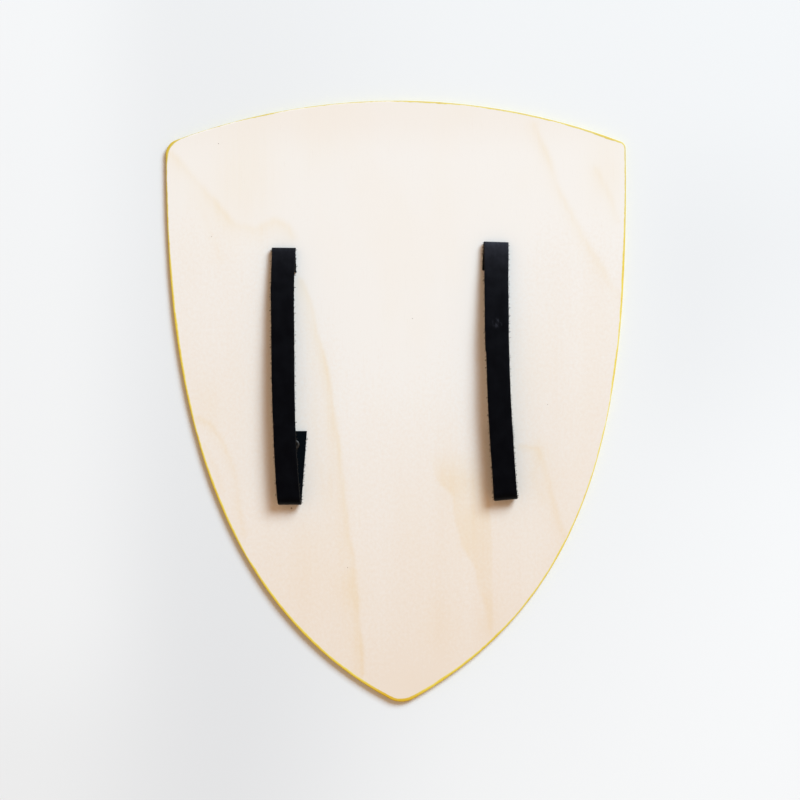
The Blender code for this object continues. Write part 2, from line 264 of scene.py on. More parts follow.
class Finish(Graph):
    """The node tree of a material, with its principled shader and its place on the object, in metres."""

    def __init__(self, name):
        self.material = bpy.data.materials.new(name)
        self.material.use_nodes = True
        super().__init__(self.material.node_tree)
        self.tree.nodes.clear()
        self.shader = self.node("ShaderNodeBsdfPrincipled")
        self.plug(self.tree.nodes.new("ShaderNodeOutputMaterial").inputs["Surface"], self.shader)
        self.place = self.node("ShaderNodeTexCoord", output=3)
        self.x, self.y, self.z = self.parts(self.place)

    def feed(self, **sockets):
        """Set or link the shader's sockets; an underscore in a name stands for a space."""
        for key, value in sockets.items():
            self.plug(self.shader.socket.node.inputs[key.replace("_", " ")], value)

    def attribute(self, name):
        """A number that the mesh keeps at its points."""
        return self.node("ShaderNodeAttribute", output=2, attribute_name=name)

    def grain(self, across, along, detail=2.0, roughness=0.5):
        """Noise with its own scale across the board and along it."""
        return self.noise(self.vector(self.x * across, self.y * along, self.z), 1.0, detail, roughness)

    def distance(self, x, y):
        """Distance in plan from a point of the board."""
        return ((self.x - x) ** 2 + (self.y - y) ** 2) ** 0.5

    def bump(self, height, distance, strength):
        return self.node("ShaderNodeBump", {"Height": height, "Distance": distance, "Strength": strength})


class Growth(Graph):
    """A geometry node tree, with named inputs and one geometry output."""

    def __init__(self, name, **kinds):
        super().__init__(bpy.data.node_groups.new(name, "GeometryNodeTree"))
        sockets = self.tree.interface
        sockets.new_socket("Geometry", in_out="OUTPUT", socket_type="NodeSocketGeometry")
        for key, kind in {"geometry": "Geometry", **kinds}.items():
            sockets.new_socket(title(key), in_out="INPUT", socket_type="NodeSocket" + kind)
        self.start = self.tree.nodes.new("NodeGroupInput")

    def given(self, key="geometry"):
        """One of the tree's inputs."""
        return Wire(self, self.start.outputs[title(key)])

    def named(self, name, data_type="FLOAT"):
        return self.node("GeometryNodeInputNamedAttribute", {"Name": name}, data_type=data_type)

    def store(self, shape, name, value):
        values = {"Geometry": shape, "Name": name, "Value": value}
        return self.node("GeometryNodeStoreNamedAttribute", values, data_type="FLOAT", domain="POINT")

    def sweep(self, path, section):
        """A closed mesh that follows a curve."""
        return self.node("GeometryNodeCurveToMesh", {0: path, "Profile Curve": section, "Fill Caps": True})

    def end(self, result):
        """Realize what the tree made, give it its material and send it out."""
        whole = self.node("GeometryNodeRealizeInstances", {0: result})
        dressed = self.node("GeometryNodeSetMaterial", {0: whole, "Material": self.given("material")})
        self.plug(self.tree.nodes.new("NodeGroupOutput").inputs[0], dressed)

    def grow(self, source, **values):
        """Run the tree on an object and keep the result as the object's plain mesh."""
        modifier = source.modifiers.new(self.tree.name, "NODES")
        modifier.node_group = self.tree
        for item in self.tree.interface.items_tree:
            key = item.name.lower().replace(" ", "_")
            if item.in_out == "INPUT" and key in values:
                modifier[item.identifier] = values[key]
        source.update_tag()
        depsgraph = bpy.context.evaluated_depsgraph_get()
        mesh = bpy.data.meshes.new_from_object(source.evaluated_get(depsgraph), depsgraph=depsgraph)
        source.modifiers.remove(modifier)
        source.data, mesh.name = mesh, source.name
        return source


def title(key):
    """A socket's name from a Python one."""
    return key.replace("_", " ").title()


def new_object(name, mesh):
    made = bpy.data.objects.new(name, mesh)
    bpy.context.scene.collection.objects.link(made)
    return made


def mesh_from(name, points, faces=(), edges=()):
    mesh = bpy.data.meshes.new(name)
    mesh.from_pydata([tuple(map(float, p)) for p in points], list(edges), list(faces))
    return mesh


def keep(mesh, **values):
    """Store a number or a vector for each point of a mesh, under each name."""
    for name, rows in values.items():
        rows = np.asarray(rows, np.float32)
        kind, field = ("FLOAT", "value") if rows.ndim == 1 else ("FLOAT_VECTOR", "vector")
        mesh.attributes.new(name, kind, "POINT").data.foreach_set(field, rows.ravel())


def settle(piece, slot, *nodes):
    """Give a finished piece its body and hide the CAD nodes that it stands for; its slot is not used."""
    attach(piece, BODY)
    if nodes:
        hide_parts(*nodes)


def close_shell(mesh, sharp_angle, merge=0.001 * MM):
    """Merge a shell's doubles, point its faces outwards and shade it smoothly up to an angle."""
    body = bmesh.new()
    body.from_mesh(mesh)
    bmesh.ops.remove_doubles(body, verts=body.verts, dist=merge)
    bmesh.ops.recalc_face_normals(body, faces=body.faces)
    body.to_mesh(mesh)
    body.free()
    mesh.polygons.foreach_set("use_smooth", np.ones(len(mesh.polygons), bool))
    mesh.set_sharp_from_angle(angle=sharp_angle)
    mesh.update()


def travelled(points):
    """Distance along a line of points, up to each of them."""
    return np.concatenate(([0.0], np.cumsum(np.linalg.norm(np.diff(points, axis=0), axis=1))))


def band(low, high, count):
    """Faces between two closed rings of points, which start at two places in a list."""
    return [(low + i, low + (i + 1) % count, high + (i + 1) % count, high + i) for i in range(count)]


# Board


def arc(centre, radius, start, end, steps):
    angles = np.linspace(start, end, steps + 1)
    return np.column_stack((centre[0] + radius * np.cos(angles), centre[1] + radius * np.sin(angles)))


def half_outline(side):
    """One half of the outline as if it were the right one, from the crown round to the tip."""
    corner_x = WIDTH / 2 - side.corner_radius
    top_centre = (side.crown_x, CROWN_Y - TOP_RADIUS)
    reach = corner_x - top_centre[0]
    corner_y = top_centre[1] + sqrt((TOP_RADIUS - side.corner_radius) ** 2 - reach ** 2)
    turn = atan2(corner_y - top_centre[1], reach)
    crown = arc(top_centre, TOP_RADIUS, pi / 2, turn, 120)
    corner = arc((corner_x, corner_y), side.corner_radius, turn, 0.0, 40)
    tip = arc((0.0, TIP_Y + TIP_RADIUS), TIP_RADIUS, TIP_SLOPE - pi / 2, -pi / 2, 40)
    shoulder = np.array((WIDTH / 2, corner_y - STRAIGHT_SIDE))
    drop = shoulder[1] - TIP_Y
    upper_pull = shoulder - (0.0, side.upper_fullness * drop)
    lower_pull = tip[0] + side.lower_fullness * drop * np.array((cos(TIP_SLOPE), sin(TIP_SLOPE)))
    t = np.linspace(0, 1, 300)[:-1, None]
    curve = ((1 - t) ** 3 * shoulder + 3 * (1 - t) ** 2 * t * upper_pull
             + 3 * (1 - t) * t ** 2 * lower_pull + t ** 3 * tip[0])
    return np.vstack((crown, corner[1:], curve, tip))


def even_steps(loop, step):
    """Points at even steps round a closed loop."""
    apart = np.concatenate(([True], np.diff(travelled(loop)) > 1e-9))
    closed = np.vstack((loop[apart], loop[:1]))
    travel = travelled(closed)
    count = round(travel[-1] / step)
    stops = np.arange(count) * travel[-1] / count
    return np.column_stack([np.interp(stops, travel, closed[:, k]) for k in (0, 1)])


def board_outline(step):
    """The whole outline, clockwise from the crown, with its outward normals."""
    left = half_outline(LEFT_SIDE) * (-1, 1)
    loop = even_steps(np.vstack((half_outline(RIGHT_SIDE), left[-2:0:-1])), step)
    way = np.roll(loop, -1, axis=0) - np.roll(loop, 1, axis=0)
    way /= np.hypot(*way.T)[:, None]
    normals = np.column_stack((-way[:, 1], way[:, 0]))
    return loop, normals


def slow_noise(points, scale, seed):
    """Smooth noise between about -1 and 1 at each point."""
    return np.array([noise.noise(Vector((p[0] * scale, p[1] * scale, seed))) for p in points])


def fill_face(outline, holes, step):
    """Points and triangles that fill an outline round holes, with points about a step apart."""
    low, high = outline.min(0), outline.max(0)
    rows = np.arange(low[1], high[1], step * TRIANGLE_HEIGHT)
    grid = []
    for i, y in enumerate(rows):
        x = np.arange(low[0] + (i % 2) * step / 2, high[0], step)
        grid.append(np.column_stack((x, np.full(len(x), y))))
    grid = np.vstack(grid)
    grid = grid[inside(grid, outline)]
    clear = nearest(grid, outline) > step * 0.55
    for ring in holes:
        centre = ring.mean(0)
        clear &= np.hypot(*(grid - centre).T) > np.hypot(*(ring[0] - centre)) + step * 0.4
    points = np.vstack((outline, *holes, grid[clear]))

    edges, start = [], 0
    for ring in (outline, *holes):
        edges += [(start + i, start + (i + 1) % len(ring)) for i in range(len(ring))]
        start += len(ring)
    flat = [Vector(p) for p in points]
    _, _, triangles, *_ = geometry.delaunay_2d_cdt(flat, edges, [], 0, 1e-9, False)
    triangles = np.array(triangles)
    middles = points[triangles].mean(1)
    good = inside(middles, outline)
    for ring in holes:
        good &= ~inside(middles, ring)
    return points, triangles[good]


def inside(points, loop):
    """Whether each point lies inside a closed loop."""
    result = np.zeros(len(points), bool)
    for (x0, y0), (x1, y1) in zip(loop, np.roll(loop, -1, axis=0)):
        if y0 == y1:
            continue
        between = (points[:, 1] > min(y0, y1)) & (points[:, 1] <= max(y0, y1))
        rows = np.nonzero(between)[0]
        cross = x0 + (points[rows, 1] - y0) * (x1 - x0) / (y1 - y0)
        result[rows] ^= points[rows, 0] < cross
    return result


def nearest(points, loop):
    """Distance from each point to a closed loop."""
    best = np.full(len(points), 1e9)
    for a, b in zip(loop, np.roll(loop, -1, axis=0)):
        way = b - a
        share = np.clip((points - a) @ way / (way @ way), 0, 1)
        best = np.minimum(best, np.hypot(*(points - a - share[:, None] * way).T))
    return best


def rim_distance(points, outline, limit):
    """Distance to the outline, exact only near it."""
    coarse = outline[::12]
    result = nearest(points, coarse)
    close = result < limit
    result[close] = nearest(points[close], outline[::3])
    return result


def side_of(points, line):
    """Distance to an open line of a few points, positive on its right going down the board."""
    best = np.full(len(points), 1e9)
    signed = np.zeros(len(points))
    for a, b in zip(line[:-1], line[1:]):
        way = b - a
        share = np.clip((points - a) @ way / (way @ way), 0, 1)
        gap = points - a - share[:, None] * way
        far = np.hypot(*gap.T)
        cross = way[0] * gap[:, 1] - way[1] * gap[:, 0]
        closer = far < best
        best[closer] = far[closer]
        signed[closer] = np.where(cross[closer] > 0, far[closer], -far[closer])
    return signed


def end_fade(points, line, reach):
    """One along a line, and falling to nothing past its two ends."""
    first, last = line[0], line[-1]
    start = (line[1] - first) / np.hypot(*(line[1] - first))
    end = (last - line[-2]) / np.hypot(*(last - line[-2]))
    before = np.clip(1 + ((points - first) @ start) / reach, 0, 1)
    after = np.clip(1 - ((points - last) @ end) / reach, 0, 1)
    return before * after


def veneer_figure(points):
    """Strength of the darker figure at each point of the back, from the listed lines."""
    spot = points / MM
    x, y = spot.T
    wobble = slow_noise(spot, 0.055, 4.0) * 1.6 + slow_noise(spot, 0.2, 9.0) * 0.5
    figure = np.zeros(len(points))
    for places, strength, left, right in FIGURE_LINES:
        line = np.array(places, float)
        gap = side_of(spot, line) + wobble
        flank = np.where(gap < 0, np.exp(-np.abs(gap) / left), np.exp(-(gap / right) ** 2))
        uneven = 1 + 0.8 * slow_noise(spot, 0.045, 13.0 + places[0][0])
        figure = np.maximum(figure, strength * uneven * flank * end_fade(spot, line, 14.0))
    left_gap = side_of(spot, np.array(FIGURE_BAND_LEFT, float)) + wobble
    right_gap = side_of(spot, np.array(FIGURE_BAND_RIGHT, float)) + wobble * 0.3
    top, bottom = FIGURE_BAND_LEFT[0][1], FIGURE_BAND_LEFT[-1][1]
    tall = np.clip((top + 8 - y) / 20, 0, 1) * np.clip((y - bottom + 4) / 10, 0, 1)
    wide = np.clip(left_gap / 2 + 0.5, 0, 1) * np.clip(0.5 - right_gap / 1.2, 0, 1) * tall
    wide *= 0.50 + 0.25 * slow_noise(spot, 0.06, 21.0)
    clouds = sum(strength * np.exp(-((x - cloud_x) ** 2 * 1.6 + (y - cloud_y) ** 2 * 0.6) / radius ** 2)
                 for cloud_x, cloud_y, radius, strength in FIGURE_CLOUDS)
    return np.clip(np.maximum(figure, wide) + clouds, 0, 1)


def paint_reach(outline):
    """How far the paint runs onto the back at each point of the outline, in metres."""
    places = np.array(PAINT_REACH)
    travel = travelled(outline)
    total = travel[-1] + np.hypot(*(outline[0] - outline[-1]))
    spots = [travel[np.argmin(np.hypot(*(outline - p[:2] * MM).T))] for p in places]
    order = np.argsort(spots)
    along, reach = np.array(spots)[order], places[order, 2]
    return np.interp(travel, along, reach, period=total) * MM


def rivet_place(strap, end):
    """Plan place of a tab's rivet, on the middle of the tab."""
    x, y, way, _, tab_lean = fold_place(strap, end)
    reach = end.tab - RIVET_INSET
    return np.array((x + tab_lean * reach, y + way * reach))


def hole_levels():
    """Height and radius of each ring of a rivet hole, from the front to the back."""
    rim_top = FOOT_SINK + FOOT_RIM
    neck = rim_top + (FOOT_DIAMETER - SHANK_DIAMETER) / 2
    cone_rise = HOLE_CLEARANCE * tan(pi / 8)
    wide = FOOT_DIAMETER / 2 + HOLE_CLEARANCE
    narrow = SHANK_DIAMETER / 2 + HOLE_CLEARANCE
    return ((0.0, wide), (rim_top + cone_rise, wide), (neck + cone_rise, narrow), (THICKNESS, narrow))


def rivet_places():
    return [rivet_place(strap, end) for strap in STRAPS for end in (strap.upper, strap.lower)]


def circle(centre, radius):
    return arc(centre, radius, 0.0, 2 * pi, 40)[:-1]


def make_board(settings):
    """The plywood board: sanded edges, countersunk rivet holes, and the numbers its finish reads."""
    outline, normals = board_outline(settings.rim_step)
    wave = slow_noise(outline, 70, 1.0) * 0.6 + slow_noise(outline, 260, 2.0) * 0.4
    outline = outline + normals * (wave * settings.edge_waver - settings.edge_waver)[:, None]
    uneven = 0.25 * slow_noise(outline, 45, 5.0) + 0.12 * slow_noise(outline, 210, 6.0)
    arris = settings.arris * (1 + uneven)
    reach = paint_reach(outline)

    # Rings from the front's inner edge, round the rim, to the back's inner edge. The front is all paint,
    # so the distance to the rim that its points keep lies far outside it.
    rings = [(inward, 0.0, PAINTED) for inward in FRONT_RINGS]
    for angle in np.linspace(0, 1, 6) * pi / 2:
        rings.append((arris * (1 - sin(angle)), arris * (1 - cos(angle)), PAINTED))
    for angle in np.linspace(0, 1, 8) * pi / 2:
        inward = arris * (1 - cos(angle))
        rings.append((inward, THICKNESS - arris * (1 - sin(angle)), inward))
    rings += [(arris + extra, THICKNESS, arris + extra) for extra in BACK_RINGS]

    points, faces, rim, bleed = [], [], [], []

    def add(flat, height, distance, spread):
        """Add points, their distance to the rim and how far the paint spreads there."""
        size = len(flat)
        points.append(np.column_stack((flat, np.broadcast_to(height, size))))
        rim.append(np.broadcast_to(distance, size))
        bleed.append(np.broadcast_to(spread, size))

    count = len(outline)
    for level, (inward, height, distance) in enumerate(rings):
        add(outline - normals * np.broadcast_to(inward, count)[:, None], height, distance, reach)
        if level:
            faces += band((level - 1) * count, level * count, count)

    levels = hole_levels()
    start = len(rings) * count
    front_rings, back_rings = [], []
    for centre in rivet_places():
        for level, (height, radius) in enumerate(levels):
            ring = circle(centre, radius)
            add(ring, height, PAINTED if level < 2 else BARE, PAINT_SPREAD)
            if level:
                faces += band(start - len(ring), start, len(ring))
            start += len(ring)
        front_rings.append(circle(centre, levels[0][1]))
        back_rings.append(circle(centre, levels[-1][1]))

    for height, ring, hole_rings, step in (
            (0.0, points[0][:, :2], front_rings, settings.front_step),
            (THICKNESS, points[len(rings) - 1][:, :2], back_rings, settings.back_step)):
        flat, triangles = fill_face(ring, hole_rings, step)
        spread = np.full(len(flat), PAINT_SPREAD)
        spread[:count] = reach
        add(flat, height, rim_distance(flat, outline, RIM_ZONE) if height else PAINTED, spread)
        faces += [tuple(t) for t in triangles + start]
        start += len(flat)

    points = np.vstack(points)
    mesh = mesh_from("shield_board", points, faces)
    figure = np.zeros(len(points))
    back = points[:, 2] > THICKNESS - 0.5 * MM
    figure[back] = veneer_figure(points[back, :2])
    keep(mesh, rim=np.concatenate(rim), bleed=np.concatenate(bleed), figure=figure)
    close_shell(mesh, radians(30), merge=0.002 * MM)
    return new_object("shield_board", mesh)


# Straps


def sway(strap, distance):
    """Sideways place of a strap's run at a distance below its upper fold, and its slope there."""
    upper, lower = strap.upper, strap.lower
    above = max(0.0, 1 - distance / upper.bend)
    below = max(0.0, 1 - (strap.span - distance) / lower.bend)
    x = strap.x + upper.drift * above ** 2 + lower.drift * below ** 2
    return x, 2 * (lower.drift * below / lower.bend - upper.drift * above / upper.bend)


def fold_place(strap, end):
    """Outermost point of a fold, the way from it along the strap, and the slope of the run and the tab."""
    upper = end is strap.upper
    x, slope = sway(strap, 0.0 if upper else strap.span)
    y = strap.top if upper else strap.top - strap.span
    way = -1 if upper else 1
    run_lean = -slope * way
    return x, y, way, run_lean, -run_lean - 2 * end.skew * way + end.twist


def end_rows(strap, end, slope, step):
    """Centre, skew and slack of rows along a tab and its fold, from the cut end to the run."""
    x, y, way, run_lean, tab_lean = fold_place(strap, end)
    fold_reach = end.fold_radius + STRAP_THICKNESS / 2
    rows = []
    for reach in np.linspace(end.tab, fold_reach, round((end.tab - fold_reach) / step)):
        rows.append((x + tab_lean * reach, y + way * reach, TAB_MIDDLE, end.skew, 0.0))
    turn = pi - atan(slope)
    steps = max(12, round(turn * end.fold_radius / step * 1.5))
    for angle in np.linspace(0, turn, steps + 1)[1:]:
        reach = fold_reach - end.fold_radius * sin(angle)
        lean = tab_lean if angle < pi / 2 else run_lean
        height = TAB_MIDDLE + end.fold_radius * (1 - cos(angle))
        rows.append((x + lean * reach, y + way * reach, height, end.skew, 0.0))
    return rows


def strap_path(strap, step):
    """The line that a strap follows, from its lower cut end to its upper one, as rows of numbers."""
    rise = 2 * (strap.lower.fold_radius - strap.upper.fold_radius)
    length = strap.span - strap.upper.fold_radius - strap.lower.fold_radius - STRAP_THICKNESS
    start = strap.upper.fold_radius + STRAP_THICKNESS / 2
    low = TAB_MIDDLE + 2 * strap.upper.fold_radius
    run = []
    for share in np.linspace(1, 0, round(length / step))[1:-1]:
        distance = start + length * share
        skew = strap.upper.skew * (1 - share) + strap.lower.skew * share
        height = low + rise * (1 - (1 - share) ** 2) + 4 * strap.bow * share * (1 - share)
        slack = sin(pi * share) ** 0.5
        run.append((sway(strap, distance)[0], strap.top - distance, height, skew, slack))
    rows = end_rows(strap, strap.lower, 4 * strap.bow / length, step) + run
    slope = (2 * rise + 4 * strap.bow) / length
    return np.array(rows + end_rows(strap, strap.upper, slope, step)[::-1])


def strap_section(settings):
    """Closed outline of the leather's cross-section: X across it, Y through it."""
    half_thick, half_wide, corner = STRAP_THICKNESS / 2, STRAP_WIDTH / 2, settings.edge_round
    flat = np.linspace(1, -1, 15)[1:-1] * (half_wide - corner)
    points = []
    for turn, (sx, sy) in enumerate(((1, 1), (-1, 1), (-1, -1), (1, -1))):
        centre = (sx * (half_wide - corner), sy * (half_thick - corner))
        points += [tuple(p) for p in arc(centre, corner, turn * pi / 2, (turn + 1) * pi / 2, 4)]
        if turn in (0, 2):
            points += [(x * sy, sy * half_thick) for x in flat]
    return np.array(points)


def strap_growth():
    """Tree that sweeps the leather's section along a path and makes its edges a little uneven."""
    tree = Growth("Leather Strap", section="Object", half_width="Float", edge_waver="Float",
                  face_waver="Float", seed="Float", material="Material")
    path = tree.node("GeometryNodeMeshToCurve", {"Mesh": tree.given()})
    across_way = tree.named("across_way", "FLOAT_VECTOR")
    path = tree.node("GeometryNodeSetCurveNormal", {"Curve": path, "Normal": across_way}, mode="FREE")
    section = tree.node("GeometryNodeObjectInfo", {"Object": tree.given("section")}, "Geometry")
    section = tree.node("GeometryNodeMeshToCurve", {"Mesh": section})
    across, inward, _ = tree.parts(tree.node("GeometryNodeInputPosition"))
    section = tree.store(section, "across", across)
    section = tree.store(section, "through", inward * -1)
    shell = tree.sweep(path, section)

    across, along = tree.named("across"), tree.named("along")
    share = across / tree.given("half_width")
    seed = tree.given("seed")
    edge = tree.noise(tree.vector(along * 60, share * 0.7, seed), 1.0, 3.0, 0.6) - 0.5
    nick = tree.noise(tree.vector(along * 520, share * 3, seed + 7), 1.0, 3.0, 0.65) - 0.5
    sideways = share * (edge + nick * 2.2) * tree.given("edge_waver")
    sideways = sideways + share.math("MAXIMUM", 0.0) * tree.named("trim_right")
    sideways = sideways + share.math("MINIMUM", 0.0) * tree.named("trim_left")
    face = tree.noise(tree.vector(along * 32, across * 60, seed + 3), 1.0, 2.0, 0.5) - 0.5
    droop = share * share * share * share * -0.35 + face * 2
    lift = droop * tree.given("face_waver") * tree.named("slack")
    step = tree.node("ShaderNodeVectorMath", {0: across_way, "Scale": sideways}, operation="SCALE")
    step = tree.node("ShaderNodeVectorMath", {0: step, 1: tree.vector(0.0, 0.0, lift)}, operation="ADD")
    tree.end(tree.node("GeometryNodeSetPosition", {"Geometry": shell, "Offset": step}))
    return tree


def make_strap(strap, settings, finish):
    """One leather strip with both ends turned under."""
    rows = strap_path(strap, settings.path_step)
    path = mesh_from(strap.name + "_path", rows[:, :3], edges=[(i, i + 1) for i in range(len(rows) - 1)])
    skew = rows[:, 3]
    along = travelled(rows[:, :3])
    below = np.clip(strap.top - rows[:, 1], 0, None)
    tab = np.arange(len(rows)) > len(rows) - 1 - round(strap.upper.tab / settings.path_step)
    # Painted sheen below the upper fold, weaker on the tab under it
    wear = strap.rub * sum(strength * np.exp(-below / fade) for strength, fade in FOLD_SHEEN)
    stations, left, right = np.array(strap.trim).T * MM
    keep(path, across_way=np.column_stack((np.cos(skew), np.sin(skew), np.zeros(len(rows)))), along=along,
         slack=rows[:, 4], wear=np.where(tab, wear * 0.2, wear),
         trim_left=np.interp(along, stations, left), trim_right=np.interp(along, stations, right))
    outline = strap_section(settings)
    loop = [(i, (i + 1) % len(outline)) for i in range(len(outline))]
    section = new_object("section", mesh_from("section", [(*p, 0.0) for p in outline], edges=loop))
    piece = strap_growth().grow(
        new_object("dressed_" + strap.name, path), section=section, half_width=STRAP_WIDTH / 2,
        edge_waver=settings.edge_waver, face_waver=settings.face_waver, seed=float(strap.seed),
        material=finish)
    bpy.data.objects.remove(section)
    close_shell(piece.data, radians(50))
    return piece


def fibre_growth():
    """Tree that sets short bent fibres on the cut edges of a strap."""
    tree = Growth("Edge Fibres", half_width="Float", density="Float", shortest="Float", longest="Float",
                  thickness="Float", seed="Int", material="Material")
    edge = abs(tree.named("across")) / tree.given("half_width")
    chosen = tree.node("FunctionNodeCompare", {0: edge, 1: 0.985}, operation="GREATER_THAN")
    scatter = tree.node("GeometryNodeDistributePointsOnFaces",
                        {"Mesh": tree.given(), "Selection": chosen, "Density": tree.given("density"),
                         "Seed": tree.given("seed")})
    turned = Wire(tree, scatter.socket.node.outputs["Rotation"])
    curve = tree.node("GeometryNodeCurveQuadraticBezier",
                      {"Resolution": 4, "Start": (0, 0, -0.15), "Middle": (0.05, 0.1, 0.5),
                       "End": (0.45, 0.2, 0.8)})
    round_section = tree.node("GeometryNodeCurvePrimitiveCircle",
                              {"Resolution": 3, "Radius": tree.given("thickness")})
    curve = tree.node("GeometryNodeSetCurveRadius",
                      {"Curve": curve, "Radius": 1 - tree.node("GeometryNodeSplineParameter") * 0.7})
    fibre = tree.sweep(curve, round_section)
    size = tree.node("FunctionNodeRandomValue",
                     {2: tree.given("shortest"), 3: tree.given("longest"), "Seed": tree.given("seed")}, 1)
    spin = tree.node("FunctionNodeRandomValue",
                     {0: (-0.9, -0.9, 0.0), 1: (0.9, 0.9, 6.28), "Seed": tree.given("seed") + 1})
    rotation = tree.node("FunctionNodeRotateRotation", {0: turned, 1: spin}, rotation_space="LOCAL")
    tree.end(tree.node("GeometryNodeInstanceOnPoints",
                       {"Points": scatter, "Instance": fibre, "Rotation": rotation, "Scale": size}))
    return tree


def make_fibres(strap, piece, settings, finish):
    """The frayed fibres along both cut edges of a strap."""
    source = new_object(strap.name + "_fibres", piece.data.copy())
    fibres = fibre_growth().grow(
        source, half_width=STRAP_WIDTH / 2, density=settings.fibre_density, shortest=FIBRE_LENGTHS[0],
        longest=FIBRE_LENGTHS[1], thickness=FIBRE_THICKNESS, seed=strap.seed, material=finish)
    fibres.data.materials.clear()
    fibres.data.materials.append(finish)
    return fibres


# Rivets


def lathe(name, profile, steps):
    """A solid turned round Z from a profile that runs from its top centre to its bottom centre."""
    points = [(0.0, 0.0, profile[0][1])]
    faces = []
    for radius, height in profile[1:-1]:
        points += [(radius * cos(2 * pi * i / steps), radius * sin(2 * pi * i / steps), height)
                   for i in range(steps)]
    points.append((0.0, 0.0, profile[-1][1]))
    starts = range(1, len(points) - 1, steps)
    for low, high in zip(starts, starts[1:]):
        faces += band(low, high, steps)
    for i in range(steps):
        j = (i + 1) % steps
        faces += [(0, 1 + i, 1 + j), (starts[-1] + j, starts[-1] + i, len(points) - 1)]
    return mesh_from(name, points, faces)


def rivet_profile():
    """Half section of a rivet: rolled hollow head, shank and flush countersunk foot."""
    hollow = HOLLOW_DIAMETER / 2
    half_roll = (HEAD_DIAMETER - HOLLOW_DIAMETER) / 4
    crest = HEAD_HEIGHT - HEAD_RIM
    seat = HEAD_SEAT
    bottom = seat + 0.12 * MM
    profile = [(0.0, bottom), (hollow * 0.55, bottom + 0.01 * MM), (hollow * 0.86, bottom + 0.06 * MM),
               (hollow * 0.97, seat + HEAD_RIM * 0.8)]
    for angle in np.linspace(pi, 0, 15)[:-1]:
        profile.append((hollow + half_roll * (1 + cos(angle)), seat + HEAD_RIM + crest * sin(angle) ** 0.8))
    rim = HEAD_DIAMETER / 2
    profile += [(rim, seat + HEAD_RIM * 0.9), (rim, seat + HEAD_RIM * 0.3), (rim - 0.08 * MM, seat),
                (SHANK_DIAMETER / 2, seat)]
    rim_top = FOOT_SINK + FOOT_RIM
    neck = rim_top + (FOOT_DIAMETER - SHANK_DIAMETER) / 2
    foot = FOOT_DIAMETER / 2
    profile += [(SHANK_DIAMETER / 2, neck), (foot, rim_top), (foot, FOOT_SINK + 0.06 * MM),
                (foot - 0.1 * MM, FOOT_SINK), (foot * 0.55, FOOT_SINK), (0.0, FOOT_SINK)]
    return profile


def rivet_growth():
    """Tree that sets a rivet at each of its points."""
    tree = Growth("Rivets", form="Object", seed="Int", material="Material")
    form = tree.node("GeometryNodeObjectInfo", {"Object": tree.given("form")}, "Geometry")
    spin = tree.node("FunctionNodeRandomValue",
                     {0: (0.0, 0.0, 0.0), 1: (0.0, 0.0, 6.28), "Seed": tree.given("seed")})
    tree.end(tree.node("GeometryNodeInstanceOnPoints",
                       {"Points": tree.given(), "Instance": form, "Rotation": spin}))
    return tree


def make_rivets(settings, finish):
    """The four rivets, as one piece."""
    form = new_object("rivet_form", lathe("rivet_form", rivet_profile(), settings.turn_steps))
    points = new_object("strap_rivets", mesh_from("strap_rivets", [(*p, 0.0) for p in rivet_places()]))
    rivets = rivet_growth().grow(points, form=form, seed=2, material=finish)
    bpy.data.objects.remove(form)
    close_shell(rivets.data, radians(40))
    return rivets


# Finishes


